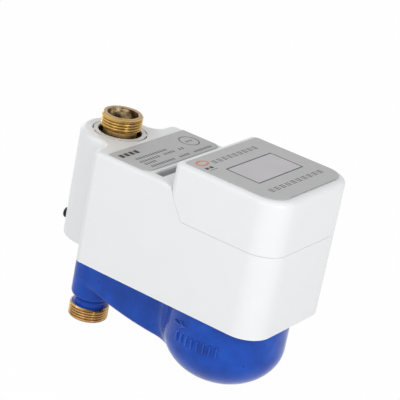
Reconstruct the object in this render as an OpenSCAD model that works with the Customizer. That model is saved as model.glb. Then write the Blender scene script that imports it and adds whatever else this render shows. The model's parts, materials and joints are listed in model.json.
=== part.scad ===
// Vertical prepaid water meter: a cast body with its measuring unit and register, a motor-driven
// shut-off valve above the pipe boss, and a moulded case with a display head.
// The pipe axis is Z with the inlet face at z = 0; the bowl and the head lie along +X.

/* [Pipe ends] */
// length from the inlet face to the outlet face
pipe_l = 145; // [143:0.5:155]
// radius over the crests of both pipe threads
thread_r = 13.22; // [12.8:0.02:13.8]
// length of each thread
thread_l = 9.6; // [8.8:0.1:10.4]
// bevel on the thread ends
thread_bevel = 0.9; // [0.5:0.1:1.2]
// radius of the neck above the inlet thread
neck_r = 9.8; // [9.4:0.1:10.4]
// radius of the neck below the outlet thread
outlet_neck_r = 10.9; // [10.6:0.1:11.4]
// radius of the widened mouths
mouth_r = 10.1; // [9.6:0.1:10.8]
// depth of the widened mouths
mouth_depth = 7.6; // [6.5:0.1:8]
// radius of the waterway
bore_r = 7; // [6.2:0.1:7.4]

/* [Casting] */
// radius of the pipe boss, and half the thickness of the arm
boss_r = 13.65; // [13.4:0.05:14]
// height where the boss reaches its full radius
boss_z = 18.2; // [16:0.2:19]
// height of the top of the boss
boss_top = 66; // [65.5:0.5:67]
// distance from the pipe axis to the bowl axis
bowl_x = 105.8; // [104.8:0.2:106.8]
// distance from the bowl's side in to the case's side
bowl_inset = 3.8; // [3.6:0.1:4.3]
// height of the lowest point of the bowl
bowl_bottom = 3.5; // [2:0.5:5]
// height where the bowl's wall becomes upright
bowl_waist = 32.4; // [31.6:0.2:33.2]
// thickness of the cast walls
cast_wall = 4.5; // [4:0.1:4.8]
// radius of the long curve along the arm's lower edge
arm_curve_r = 235; // [180:5:300]
// distance from the pipe to the lowest point of that curve
arm_low_x = 72; // [66:1:78]
// height of the lowest point of that curve
arm_low_z = 15.4; // [14.4:0.2:16.4]
// rounding of the arm's lower edges
arm_edge_r = 3.5; // [2:0.5:5]
// radius of the cast hollow between the arm and the bowl
arm_fillet = 8; // [5:0.5:10]
// height of the arm's flat top
arm_top = 59.2; // [59:0.2:60]

/* [Lower case] */
// height of the lower edge of the case
case_bottom = 57.2; // [56:0.2:58]
// height of the deck
deck_z = 132.5; // [131.5:0.5:134]
// height of the level joint below the head
seam_z = 112.5; // [111.5:0.5:114]
// half the width of the case and of the head
case_hw = 42.7; // [42.6:0.1:44]
// place of the end wall beside the pipe
case_x0 = 10.8; // [10.2:0.2:11.8]
// place of the end wall beyond the bowl
case_x1 = 150; // [149.5:0.5:153]
// radius of the upright corners beyond the bowl
corner_r = 17.6; // [16:0.2:19]
// radius of the upright corners beside the pipe
end_corner_r = 5; // [4:0.5:6]
// radius of the lobe about the pipe
lobe_r = 25.1; // [24.8:0.1:26]
// height of the lower edge of the lobe
lobe_bottom = 58.9; // [58:0.1:59]
// radius of the hollow between the lobe and the end wall
lobe_fillet = 8; // [6:0.5:9]
// wall thickness of the mouldings
wall = 2.2; // [2:0.1:2.3]
// thickness of the deck and of the shelf under the head
deck_t = 2.5; // [2.2:0.1:3]
// rounding of the deck's outer edges
deck_edge_r = 3; // [2.4:0.2:3.6]

/* [Head] */
// place of the head's upright face above the deck
head_x0 = 71.6; // [71:0.2:72.4]
// height of the foot of that face
notch_z = 131.1; // [130.5:0.1:131.4]
// where the slanted joint meets the level joint
step_x = 84; // [82:0.5:86]
// height of the head's moulded top
head_z = 148; // [147:0.5:150]
// rounding of the head's top edge
head_edge_r = 3.5; // [3:0.5:4]
// radius of the upright corners of the head's near face
head_corner_r = 5; // [4:0.5:6]
// gap of the joint between the head and the lower case
seam_gap = 0.2; // [0.2:0.05:0.5]
// thickness of the faceplate and of the nameplate
plate_t = 0.6; // [0.4:0.1:1]
// near end of the faceplate
face_x0 = 76.7; // [76:0.1:78]
// far end of the faceplate
face_x1 = 144.7; // [143:0.1:145.4]
// width of the head's rim beside the faceplate
face_inset = 3.6; // [3.3:0.1:4.7]
// radius of the faceplate's far corners
face_corner_r = 13; // [11:0.5:15]
// near end of the display window
window_x0 = 97.7; // [96.5:0.1:99]
// length of the display window along X
window_l = 23.1; // [21:0.1:25]
// half the width of the display window
window_hw = 23.9; // [22:0.1:25]

/* [Deck] */
// near end of the nameplate
name_x0 = 21.6; // [21:0.1:22.6]
// far end of the nameplate
name_x1 = 52.1; // [50:0.1:53]
// width of the deck's rim beside the nameplate
name_inset = 3; // [3:0.1:4.7]
// radius of the nameplate's far corners
name_corner_r = 5.5; // [3:0.5:7]
// near side of the card slot
slot_x0 = 55.6; // [55:0.1:56.4]
// width of the card slot
slot_w = 5.3; // [5:0.1:5.8]
// length of the card slot
slot_l = 71; // [66:1:72]
// thickness of the reader's lip inside the slot
slot_lip = 0.8; // [0.6:0.1:1]
// depth of that lip below the deck
slot_lip_drop = 0.6; // [0.4:0.1:1]
// radius of the hole in the deck for the collar
collar_hole_r = 17.9; // [17.6:0.1:18.4]
// width of the groove about the collar
collar_gap = 0.9; // [0.5:0.1:1.2]
// radius of the hole through the collar
collar_r = 14.3; // [14.1:0.1:14.8]
// height of the seal plug's centre
plug_z = 66; // [65.6:0.2:68]
// direction of the seal plug about the pipe
plug_angle = 192; // [180:1:200]
// radius of the seal plug
plug_r = 3.5; // [3:0.1:4]

/* [Measuring unit] */
// height of the seat between the lower and the upper chamber
seat_z = 38; // [37.6:0.2:38.4]
// radius of the hole in that seat
seat_r = 25; // [24.6:0.1:25.6]
// height of the underside of the measuring chamber
chamber_bottom = 20; // [19.6:0.2:20.6]
// wall thickness of the measuring chamber
chamber_wall = 1.8; // [1.6:0.1:2.2]
// number of jets into and out of the measuring chamber
jets = 8; // [6:1:10]
// radius of the impeller over its vanes
impeller_r = 20.5; // [19:0.1:21]
// number of vanes on the impeller
vanes = 7; // [6:1:9]
// radius of the impeller's shaft
shaft_r = 1.5; // [1.2:0.1:2]
// radius of the pivot pin under the impeller
pivot_r = 1.2; // [1:0.1:1.4]
// height of the pressure plate's underside
plate_z = 62; // [61.6:0.2:62.6]
// thickness of the pressure plate
pressure_t = 4; // [3.8:0.1:4.4]
// height of the top of the bowl's rim
rim_top = 72; // [71.6:0.2:72.6]

/* [Register] */
// height inside the register's case up to the glass
register_h = 26.5; // [26.2:0.1:27.5]
// thickness of the register's glass
glass_t = 3.5; // [3:0.1:4]
// distance between the register's arbors, as a share of its radius
reg_share = 0.46; // [0.445:0.005:0.465]
// radius of the register's arbors
arbor_r = 1; // [0.8:0.05:1.1]
// radius of the number wheels
roller_r = 5.5; // [5:0.1:5.6]
// width of each number wheel
roller_w = 4.4; // [4:0.1:4.6]
// distance from the register's axis to the number wheels' axle
roller_x = 14; // [13.6:0.1:14.6]

/* [Valve] */
// height of the ball's centre
ball_z = 92; // [91.5:0.25:92.5]
// radius of the ball
ball_r = 11; // [10.8:0.1:11.2]
// outer radius of the valve's body
valve_r = 17; // [16.5:0.1:18]
// radius of the valve's stem
stem_r = 3.5; // [3:0.1:3.8]
// distance from the pipe axis to the gearbox's seat
stem_face = 24; // [23.4:0.2:25]
// tooth size of the output gear
out_mod = 0.8; // [0.76:0.01:0.82]
// tooth size of the motor's gear pair
motor_mod = 0.5; // [0.48:0.01:0.52]
// radius of the motor
motor_r = 6; // [5:0.1:6.2]
// length of the motor
motor_l = 20; // [16:0.5:22]

/* [Electronics] */
// radius of each battery cell
cell_r = 9.25; // [8:0.05:9.5]
// length of each battery cell
cell_l = 50.5; // [45:0.5:54]
// thickness of the circuit board
board_t = 1.6; // [1:0.1:2]
// depth of the display module
lcd_t = 4.8; // [4:0.1:6]

/* [Hidden] */
$fn = 96;
e = 0.01;
fit = 0.05;
loose = 0.3;
far = 400;

// casting
boss_round = boss_r - neck_r;
dome_h = bowl_waist - bowl_bottom;
bowl_r = case_hw - bowl_inset;
cavity_r = bowl_r - cast_wall;
seat_t = 4;
rim_step = 1.5;
rim_t = 4.4;
rim_r = bowl_r - rim_step;
upper_r = rim_r - rim_t;
rim_z = arm_top + 0.8;
way_hw = boss_r - cast_wall + 0.4;
low_way_h = 8.5;
low_way_top = seat_z - seat_t - 0.5;
high_way_h = 11;
high_way_z = seat_z + 1;
riser_r = 9;
spigot_r = boss_r - 2.1;
spigot_l = 12;

// case
slope = [step_x - head_x0, seam_z - notch_z];
slope_n = [slope[1], -slope[0]] / norm(slope);
deck_end = head_x0 - 7;
lobe_c = [case_x0 - lobe_fillet, sqrt(pow(lobe_r + lobe_fillet, 2) - pow(case_x0 - lobe_fillet, 2))];
base_t = 2;
base_top = arm_top + base_t;
post_r = 3.4;
post_x = [case_x0 + wall + 4, head_x0 + 2.4];
post_y = case_hw - wall - post_r - 0.6;
tap_r = 1.3;
screw_head_r = 2.8;
screw_head_h = 1.8;
name_hw = case_hw - name_inset;
reader_hl = (slot_l / 2 + case_hw - wall) / 2;
clamp_x = 40;
clamp_y = 7;

// head
face_hw = case_hw - face_inset;
head_top_in = head_z - wall;
head_base_x0 = step_x + 4;
head_post_r = 3.5;
head_post_gap = 1.6;
head_post_y = case_hw - wall - head_post_r - head_post_gap;
head_post = [[head_base_x0 + 6, head_post_y], [case_x1 - 12, head_post_y - 6.7]];
shelf_hole = [92, 40, 44];
lcd_over = 3;
lcd_z = head_top_in - lcd_t;
board_z = lcd_z - board_t;
board_post_r = 2.5;
board_x0 = window_x0 - lcd_over - 2 * board_post_r - 1;
board_l = window_l + 2 * lcd_over + 4 * board_post_r + 2;
board_w = 2 * (window_hw + lcd_over) + 1;
cell_x = [head_base_x0 + 17, head_base_x0 + 38];
cell_z = seam_z + base_t + cell_r + 0.8;

// measuring unit
chamber_r = seat_r - loose;
chamber_in = chamber_r - chamber_wall;
floor_t = 2.5;
flange_t = 2;
cup_top = seat_z + flange_t;
vane_z = chamber_bottom + floor_t + 2.5;
vane_h = 10;
hub_r = 4.5;
bearing_z = plate_z - 8;
bearing_t = 2;
magnet_r = 8;
pressure_top = plate_z + pressure_t;
ring_t = 2.7;
barrel_t = 3.4;
lip_w = 3.5;
ring_r = rim_r + ring_t;
barrel_r = upper_r + barrel_t;
lip_r = upper_r - lip_w;

// register
reg_r = upper_r - 0.4;
reg_floor = 1.5;
ledge_r = [reg_r - 3.6, reg_r - 2.3, reg_r - 1.6];
reg_plate_z = pressure_top + 10;
reg_plate_t = 1.2;
reg_top = pressure_top + reg_floor + register_h;
dial_t = 0.8;
dial_z = reg_top - 3;
gear_t = 2.5;
low_gear_z = reg_plate_z - 0.5 - gear_t;
high_gear_z = reg_plate_z + reg_plate_t + 0.8;
mark_z = dial_z + dial_t + 0.5;
mark_t = 1;
big_n = 40;
small_n = 10;
reg_c = reg_share * reg_r;
reg_mod = 2 * reg_c / (big_n + small_n);
pointer_dir = 120;
second_at = [reg_c, 0];
pointer_at = second_at + reg_c * [cos(pointer_dir), sin(pointer_dir)];
rollers = 5;
roller_gap = 0.4;
roller_span = rollers * roller_w + (rollers - 1) * roller_gap;
roller_z = dial_z - 1 - roller_r;
axle_r = 0.8;
cheek_t = 1.2;
gasket_t = 1;
glass_top = reg_top + glass_t;

// valve
outlet_z = pipe_l - thread_l;
seat_reach = ball_r - 1;
seat_h = 4;
valve_bore = ball_r + 2;
valve_z0 = boss_top + 6;
shoulder_z = ball_z + seat_reach + 2;
gear_x = stem_face + 4;
gear_w = 3.5;
idler_x = gear_x + gear_w + 1.1;
idler_w = 2.8;
idler_n = 36;
out_c = out_mod * (big_n + small_n) / 2;
motor_c = motor_mod * (idler_n + small_n) / 2;
box_base_t = 2.5;
box_x1 = idler_x + idler_w + 2.6;
box_wall = 2;
box_y = [-(out_mod * (big_n / 2 + 1) + 2), out_c + motor_mod * (idler_n / 2 + 1) + 2];
box_z = [ball_z - max(out_mod * (big_n / 2 + 1), motor_c + motor_r) - 2,
    ball_z + out_mod * (big_n / 2 + 1) + 2];
box_post = 3.2;
pin_r = 1.2;
motor_pin_r = 0.75;
box_tap_r = 1;

// shared shapes

module tube(r1, r0, h) {
    difference() {
        cylinder(r = r1, h = h);
        translate([0, 0, -e]) cylinder(r = r0, h = h + 2 * e);
    }
}

// lays a shape drawn along Z along +X instead, with its drawn X pointing down
module along_x() {
    rotate([0, 90, 0]) children();
}

// extrudes an outline drawn in (x, z) across the whole width, centred on y = 0
module across(half) {
    translate([0, half, 0]) rotate([90, 0, 0]) linear_extrude(2 * half) children();
}

function arc(c, r, a0, a1, n) = [for (i = [0:n]) c + r * [cos(a0 + (a1 - a0) * i / n),
    sin(a0 + (a1 - a0) * i / n)]];

// involute teeth: half the tooth's angle at radius r
function inv(a) = tan(a) - a * PI / 180;
function tooth_half(m, n, r) =
    let (rp = m * n / 2, rb = rp * cos(20), s = m * (PI / 2 - 0.22))
    s / (2 * rp) * 180 / PI + (inv(20) - inv(acos(min(1, rb / max(r, rb))))) * 180 / PI;

// one gear outline with a tooth centred on +X; small wheels have long tips and large ones short tips
module gear(m, n) {
    rp = m * n / 2;
    tip = rp + m * (n > 20 ? 0.6 : 0.9);
    root = rp - m * (n > 20 ? 1.2 : 0.9);
    radii = [root, rp - 0.35 * m, rp + 0.25 * m, tip];
    polygon([for (i = [0:n - 1]) for (k = [0:7])
        let (r = radii[k < 4 ? k : 7 - k], a = 360 * i / n + (k < 4 ? -1 : 1) * tooth_half(m, n, r))
        r * [cos(a), sin(a)]]);
}

// casting

module boss_profile() {
    polygon(concat(
        [[0, 0], [thread_r - thread_bevel, 0], [thread_r, thread_bevel],
            [thread_r, thread_l - thread_bevel],
            [thread_r - thread_bevel, thread_l], [neck_r, thread_l]],
        arc([neck_r, boss_z], boss_round, -90, 0, 8),
        [[boss_r, boss_top], [0, boss_top]]));
}

// a slab as thick as the boss, swept along the arm's long curve
module arm() {
    intersection() {
        translate([arm_low_x, 0, arm_low_z + arm_curve_r]) rotate([90, 0, 0]) rotate_extrude($fn = 180)
            arm_section();
        translate([0, -boss_r, 0]) cube([bowl_x, 2 * boss_r, arm_top]);
    }
}

module arm_section() {
    depth = 60;
    inner = arm_curve_r - depth;
    translate([inner, -boss_r]) square([depth - arm_edge_r, 2 * boss_r]);
    translate([inner, -boss_r + arm_edge_r]) square([depth, 2 * (boss_r - arm_edge_r)]);
    for (s = [-1, 1])
        translate([arm_curve_r - arm_edge_r, s * (boss_r - arm_edge_r)]) circle(arm_edge_r);
}

// the cast hollow on each side between the arm and the bowl, thinning out below along the bowl's dome
module arm_web() {
    reach = bowl_r + arm_fillet;
    c = [bowl_x - sqrt(pow(reach, 2) - pow(boss_r + arm_fillet, 2)), boss_r + arm_fillet];
    on_bowl = [bowl_x, 0] + (c - [bowl_x, 0]) * bowl_r / reach;
    intersection() {
        translate([0, 0, arm_low_z]) linear_extrude(arm_top - arm_low_z) for (s = [0, 1]) mirror([0, s])
            difference() {
            polygon([[c[0], 0], [c[0], boss_r], on_bowl, [bowl_x, 0]]);
            translate(c) circle(arm_fillet);
        }
        translate([bowl_x, 0, 0]) rotate_extrude() polygon(concat(dome(reach, dome_h),
            [[reach, arm_top], [0, arm_top]]));
    }
}

// half an ellipse below the bowl's waist, r wide and h deep
function dome(r, h) = [for (i = [0:24]) let (a = -90 + 90 * i / 24) [r * cos(a), bowl_waist + h * sin(a)]];

module bowl_profile() {
    polygon(concat(
        dome(bowl_r, dome_h),
        [[bowl_r, rim_z], [rim_r, rim_z], [rim_r, rim_top], [0, rim_top]]));
}

module bowl_cavity() {
    low_h = dome_h - cast_wall;
    low_top = seat_z - seat_t;
    rotate_extrude() polygon(concat(
        dome(cavity_r, low_h),
        [[cavity_r, low_top], [seat_r, low_top], [seat_r, seat_z], [upper_r, seat_z],
            [upper_r, rim_top + 1],
            [0, rim_top + 1]]));
}

module meter_body() {
    color("royalblue") difference() {
        union() {
            rotate_extrude() boss_profile();
            arm();
            arm_web();
            translate([bowl_x, 0, 0]) rotate_extrude() bowl_profile();
        }
        translate([0, 0, -e]) cylinder(r = mouth_r, h = mouth_depth + e);
        cylinder(r = bore_r, h = low_way_top);
        translate([0, -way_hw, low_way_top - low_way_h]) cube([bowl_x - seat_r - 2, 2 * way_hw, low_way_h]);
        translate([0, -way_hw, high_way_z]) cube([bowl_x - seat_r - 2, 2 * way_hw, high_way_h]);
        translate([0, 0, high_way_z]) cylinder(r = riser_r, h = boss_top);
        translate([0, 0, boss_top - spigot_l]) cylinder(r = spigot_r, h = spigot_l + 1);
        translate([bowl_x, 0, 0]) bowl_cavity();
        for (s = [-1, 1]) translate([clamp_x, s * clamp_y, arm_top - 8]) cylinder(r = tap_r + fit, h = 9);
    }
}

// measuring unit

module inlet_strainer() {
    rim_t = 1.4;
    basket_r = bore_r - loose;
    basket_h = 14;
    slots = 8;
    color("whitesmoke") translate([0, 0, mouth_depth]) difference() {
        union() {
            translate([0, 0, -rim_t]) cylinder(r = mouth_r - fit, h = rim_t);
            cylinder(r = basket_r, h = basket_h);
        }
        translate([0, 0, -rim_t - e]) cylinder(r = basket_r - 1.2, h = basket_h + rim_t - 1.2);
        for (i = [0:slots - 1])
            rotate(i * 360 / slots) translate([0, -0.8, 2]) cube([bore_r, 1.6, basket_h - 4.5]);
    }
}

module measuring_chamber() {
    port_h = 6;
    port_w = 3.5;
    color("gainsboro") translate([bowl_x, 0, 0]) difference() {
        union() {
            translate([0, 0, chamber_bottom]) cylinder(r = chamber_r, h = seat_z - chamber_bottom + e);
            translate([0, 0, seat_z]) cylinder(r = upper_r - 2, h = flange_t);
        }
        difference() {
            translate([0, 0, chamber_bottom + floor_t]) cylinder(r = chamber_in, h = seat_z);
            translate([0, 0, chamber_bottom]) cylinder(r = hub_r - 1, h = floor_t + 1);
        }
        translate([0, 0, chamber_bottom - e]) cylinder(r = pivot_r, h = floor_t + 2);
        for (i = [0:jets - 1])
            rotate(i * 360 / jets) translate([0, chamber_in - port_w - 1.5, vane_z + 1])
                cube([seat_r + 2, port_w, port_h]);
    }
}

module impeller_pivot() {
    color("silver") translate([bowl_x, 0, chamber_bottom])
        cylinder(r = pivot_r, h = vane_z - chamber_bottom);
}

module impeller() {
    vane_t = 1.2;
    foot = vane_z - 1.2;
    color("lightsteelblue") translate([bowl_x, 0, 0]) difference() {
        union() {
            translate([0, 0, foot]) cylinder(r = hub_r, h = vane_h + 2.4);
            translate([0, 0, foot]) cylinder(r = shaft_r, h = plate_z - 1 - foot);
            for (i = [0:vanes - 1])
                rotate(i * 360 / vanes) translate([0, -vane_t / 2, vane_z])
                    cube([impeller_r, vane_t, vane_h]);
        }
        translate([0, 0, foot - e]) cylinder(r = pivot_r + fit, h = 1.3);
    }
}

module impeller_magnet() {
    color("dimgray") translate([bowl_x, 0, plate_z - 4]) tube(magnet_r, shaft_r, 3);
}

module chamber_cover() {
    port_w = 8;
    port_h = 10;
    color("gainsboro") translate([bowl_x, 0, 0]) difference() {
        translate([0, 0, cup_top]) cylinder(r = chamber_r, h = plate_z - cup_top);
        translate([0, 0, cup_top - e]) cylinder(r = chamber_in, h = bearing_z - cup_top);
        translate([0, 0, bearing_z + bearing_t]) cylinder(r = chamber_in, h = plate_z);
        cylinder(r = shaft_r + fit, h = far);
        for (i = [0:jets - 1])
            rotate((i + 0.5) * 360 / jets) translate([chamber_in - 4, -port_w / 2, cup_top + 2])
                cube([8, port_w, port_h]);
    }
}

module pressure_plate() {
    seal_r = 1.15;
    color("darkgoldenrod") translate([bowl_x, 0, plate_z]) difference() {
        cylinder(r = upper_r - loose, h = pressure_t);
        translate([0, 0, pressure_t / 2 - seal_r]) tube(upper_r + 1, upper_r - 2 * seal_r, 2 * seal_r);
    }
}

module body_seal() {
    seal_r = 1.15;
    color("black") translate([bowl_x, 0, plate_z + pressure_t / 2]) rotate_extrude()
        translate([upper_r - seal_r, 0]) circle(seal_r - fit, $fn = 32);
}

module cover_ring() {
    color("goldenrod") translate([bowl_x, 0, 0]) rotate_extrude() polygon([
        [rim_r + 0.15, rim_z + 0.4], [ring_r, rim_z + 0.4], [ring_r, rim_top + 2], [barrel_r, rim_top + 4],
        [barrel_r, glass_top + gasket_t + 2.5], [lip_r, glass_top + gasket_t + 2.5],
            [lip_r, glass_top + gasket_t],
        [upper_r, glass_top + gasket_t], [upper_r, rim_top + 0.2], [rim_r + 0.15, rim_top + 0.2]]);
}

// register

module register_case() {
    pad_h = 3;
    pad_r = 2.6;
    color("whitesmoke") translate([bowl_x, 0, 0]) difference() {
        union() {
            difference() {
                translate([0, 0, pressure_top]) cylinder(r = reg_r, h = reg_top - pressure_top);
                translate([0, 0, pressure_top + reg_floor]) cylinder(r = ledge_r[0], h = register_h + 1);
                translate([0, 0, reg_plate_z]) cylinder(r = ledge_r[1], h = register_h);
                translate([0, 0, dial_z]) cylinder(r = ledge_r[2], h = register_h);
            }
            translate([0, 0, pressure_top]) cylinder(r = pad_r, h = reg_floor + 1.5);
            translate([second_at[0], second_at[1], pressure_top])
                cylinder(r = pad_r, h = reg_floor + pad_h);
        }
        translate([0, 0, pressure_top + 1]) cylinder(r = arbor_r + fit, h = 6);
        translate([second_at[0], second_at[1], pressure_top + 1]) cylinder(r = arbor_r + fit, h = 6);
    }
}

module register_arbor() {
    color("gold") translate([bowl_x, 0, 0]) {
        translate([0, 0, pressure_top + 1.1]) cylinder(r = arbor_r,
            h = mark_z + mark_t - pressure_top - 1.1);
        translate([0, 0, pressure_top + reg_floor + 1.8])
            cylinder(r = arbor_r + 0.6, h = low_gear_z - pressure_top - reg_floor - 1.8);
        translate([0, 0, low_gear_z]) linear_extrude(gear_t) gear(reg_mod, small_n);
    }
}

module register_magnet() {
    color("dimgray") translate([bowl_x, 0, pressure_top + reg_floor + 2]) tube(magnet_r, arbor_r + 0.6, 2);
}

module gear_plate() {
    color("khaki") translate([bowl_x, 0, reg_plate_z]) difference() {
        cylinder(r = ledge_r[1] - fit, h = reg_plate_t);
        for (p = [[0, 0], second_at, pointer_at])
            translate([p[0], p[1], -1]) cylinder(r = arbor_r + fit, h = 4);
    }
}

module second_wheel() {
    color("gold") translate([bowl_x + second_at[0], second_at[1], 0]) {
        translate([0, 0, pressure_top + 1.1]) cylinder(r = arbor_r,
            h = high_gear_z + gear_t + 1 - pressure_top - 1.1);
        translate([0, 0, low_gear_z]) linear_extrude(gear_t) rotate(180 + 180 / big_n) gear(reg_mod, big_n);
        translate([0, 0, high_gear_z]) linear_extrude(gear_t) rotate(pointer_dir) gear(reg_mod, small_n);
    }
}

module pointer_wheel() {
    color("gold") translate([bowl_x + pointer_at[0], pointer_at[1], 0]) {
        translate([0, 0, reg_plate_z - 0.2]) cylinder(r = arbor_r, h = mark_z + mark_t - reg_plate_z + 0.2);
        translate([0, 0, high_gear_z]) linear_extrude(gear_t) rotate(180 + pointer_dir + 180 / big_n)
            gear(reg_mod, big_n);
    }
}

module pointer() {
    hub = 2.2;
    reach = 8;
    color("red") translate([bowl_x + pointer_at[0], pointer_at[1], mark_z]) difference() {
        union() {
            cylinder(r = hub, h = mark_t);
            linear_extrude(mark_t) polygon([[0, -hub * 0.6], [reach, 0], [0, hub * 0.6]]);
        }
        translate([0, 0, -1]) cylinder(r = arbor_r, h = 3);
    }
}

module leak_star() {
    points = 6;
    color("red") translate([bowl_x, 0, mark_z]) linear_extrude(mark_t) difference() {
        polygon([for (i = [0:2 * points - 1]) (i % 2 == 0 ? 4.2 : 2.2)
            * [cos(180 * i / points), sin(180 * i / points)]]);
        circle(arbor_r);
    }
}

module roller_frame() {
    hw = roller_span / 2 + 0.5;
    post = 4;
    color("silver") translate([bowl_x - roller_x, 0, reg_plate_z + reg_plate_t]) difference() {
        union() {
            translate([-post, -hw - cheek_t, 0]) cube([2 * post, 2 * (hw + cheek_t), 0.8]);
            for (s = [-1, 1]) {
                translate([-post / 2, s * (hw + cheek_t / 2) - cheek_t / 2, 0])
                    cube([post, cheek_t, roller_z - reg_plate_z - reg_plate_t + axle_r + 1.4]);
            }
        }
        translate([0, 0, roller_z - reg_plate_z - reg_plate_t]) rotate([90, 0, 0])
            cylinder(r = axle_r, h = far, center = true);
    }
}

module roller_axle() {
    color("silver") translate([bowl_x - roller_x, 0, roller_z]) rotate([90, 0, 0])
        cylinder(r = axle_r, h = roller_span + 1 + 2 * cheek_t + 0.6, center = true);
}

// the wheel on the far end of the row, k = 0, turns fastest
module number_wheel(k) {
    color("black") translate([bowl_x - roller_x, roller_span / 2 - k * (roller_w + roller_gap),
        roller_z]) rotate([90, 0, 0])
        tube(roller_r, axle_r + fit, roller_w);
}

module number_wheel_1() { number_wheel(0); }
module number_wheel_2() { number_wheel(1); }
module number_wheel_3() { number_wheel(2); }
module number_wheel_4() { number_wheel(3); }
module number_wheel_5() { number_wheel(4); }

module dial() {
    color("white") translate([bowl_x, 0, dial_z]) difference() {
        cylinder(r = ledge_r[2] - fit, h = dial_t);
        for (p = [[0, 0], pointer_at])
            translate([p[0], p[1], -1]) cylinder(r = arbor_r + fit, h = 4);
        translate([-roller_x - 3, -roller_span / 2, -1]) cube([6, roller_span, 4]);
    }
}

module register_glass() {
    color("lightcyan") translate([bowl_x, 0, reg_top]) cylinder(r = reg_r, h = glass_t);
}

module glass_gasket() {
    color("black") translate([bowl_x, 0, glass_top]) tube(reg_r, lip_r, gasket_t);
}

// shut-off valve

module valve_body() {
    color("goldenrod") difference() {
        union() {
            rotate_extrude() polygon([
                [0, valve_z0], [valve_r, valve_z0], [valve_r, shoulder_z + 1],
                    [outlet_neck_r, shoulder_z + 8],
                [outlet_neck_r, outlet_z], [thread_r - thread_bevel, outlet_z],
                    [thread_r, outlet_z + thread_bevel],
                [thread_r, pipe_l - thread_bevel], [thread_r - thread_bevel, pipe_l], [0, pipe_l]]);
            translate([0, 0, ball_z]) along_x() cylinder(r = stem_r + 4, h = stem_face);
        }
        translate([0, 0, valve_z0 - e]) cylinder(r = valve_bore, h = ball_z + seat_reach - valve_z0);
        cylinder(r = bore_r, h = far);
        translate([0, 0, pipe_l - mouth_depth]) cylinder(r = mouth_r, h = far);
        translate([0, 0, ball_z]) along_x() cylinder(r = stem_r + fit, h = far);
    }
}

module valve_tailpiece() {
    groove = 2.4;
    color("goldenrod") difference() {
        union() {
            translate([0, 0, boss_top - spigot_l + 0.2]) cylinder(r = spigot_r - fit, h = spigot_l);
            translate([0, 0, boss_top]) cylinder(r = valve_r, h = valve_z0 - boss_top);
            translate([0, 0, boss_top]) cylinder(r = valve_bore - fit, h = ball_z - seat_reach - boss_top);
        }
        cylinder(r = bore_r, h = far);
        translate([0, 0, boss_top - spigot_l / 2 - groove / 2]) tube(spigot_r + 1, spigot_r - 1.6, groove);
    }
}

module tailpiece_seal() {
    groove = 2.4;
    color("black") translate([0, 0, boss_top - spigot_l / 2 - groove / 2 + fit])
        tube(spigot_r - fit / 2, spigot_r - 1.6, groove - 2 * fit);
}

module valve_seats() {
    color("white") translate([0, 0, ball_z]) difference() {
        for (z = [-seat_reach, seat_reach - seat_h - e])
            translate([0, 0, z]) tube(valve_bore - fit, bore_r + 0.2, seat_h);
        sphere(ball_r + fit);
    }
}

module valve_ball() {
    color("gold") translate([0, 0, ball_z]) difference() {
        sphere(ball_r);
        cylinder(r = bore_r, h = far, center = true);
        translate([bore_r + 0.9, -far / 2, -2]) cube([far, far, 4]);
    }
}

module valve_stem() {
    tang = 3.9;
    color("silver") translate([0, 0, ball_z]) difference() {
        union() {
            translate([ball_r + 0.6, 0, 0]) along_x()
                cylinder(r = stem_r, h = gear_x + gear_w + 0.6 - ball_r - 0.6);
            translate([bore_r + 1, -stem_r * 0.85, -tang / 2]) cube([ball_r - bore_r, 1.7 * stem_r, tang]);
        }
        translate([stem_face - 7, 0, 0]) along_x() tube(stem_r + 1, stem_r - 0.9, 2);
    }
}

module stem_seal() {
    color("black") translate([stem_face - 7 + fit, 0, ball_z]) along_x()
        tube(stem_r, stem_r - 0.9, 2 - 2 * fit);
}

// the gearbox's outline across the stem, drawn so that along_x() puts it in place
module box_outline(i) {
    translate([-box_z[1] + i, box_y[0] + i]) square([box_z[1] - box_z[0] - 2 * i,
        box_y[1] - box_y[0] - 2 * i]);
}

module box_corners() {
    for (z = [box_z[0] + box_post, box_z[1] - box_post])
        for (y = [box_y[0] + box_post, box_y[1] - box_post])
            translate([-z, y]) children();
}

module gearbox_base() {
    color("dimgray") translate([stem_face, 0, 0]) along_x() linear_extrude(box_base_t) difference() {
        box_outline(0);
        translate([-ball_z, 0]) circle(stem_r + loose);
        translate([-ball_z, out_c]) circle(pin_r + fit);
        box_corners() circle(box_tap_r + fit);
    }
}

module output_gear() {
    color("ivory") translate([gear_x, 0, ball_z]) along_x() linear_extrude(gear_w) difference() {
        rotate(90 + 180 / big_n) gear(out_mod, big_n);
        circle(stem_r);
    }
}

module idler_gear() {
    color("ivory") translate([0, out_c, ball_z]) {
        translate([stem_face + 0.2, 0, 0]) along_x() cylinder(r = pin_r, h = box_x1 - stem_face - 0.4);
        translate([gear_x - loose, 0, 0]) along_x() linear_extrude(gear_w + 2 * loose) rotate(-90)
            gear(out_mod, small_n);
        translate([idler_x, 0, 0]) along_x() linear_extrude(idler_w) rotate(180 / idler_n)
            gear(motor_mod, idler_n);
    }
}

module motor_pinion() {
    color("gold") translate([0, out_c, ball_z - motor_c]) {
        translate([idler_x - 0.6, 0, 0]) along_x() cylinder(r = motor_pin_r,
            h = box_x1 - idler_x + 0.6 + motor_l / 2);
        translate([idler_x, 0, 0]) along_x() linear_extrude(idler_w) rotate(180) gear(motor_mod, small_n);
    }
}

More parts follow.
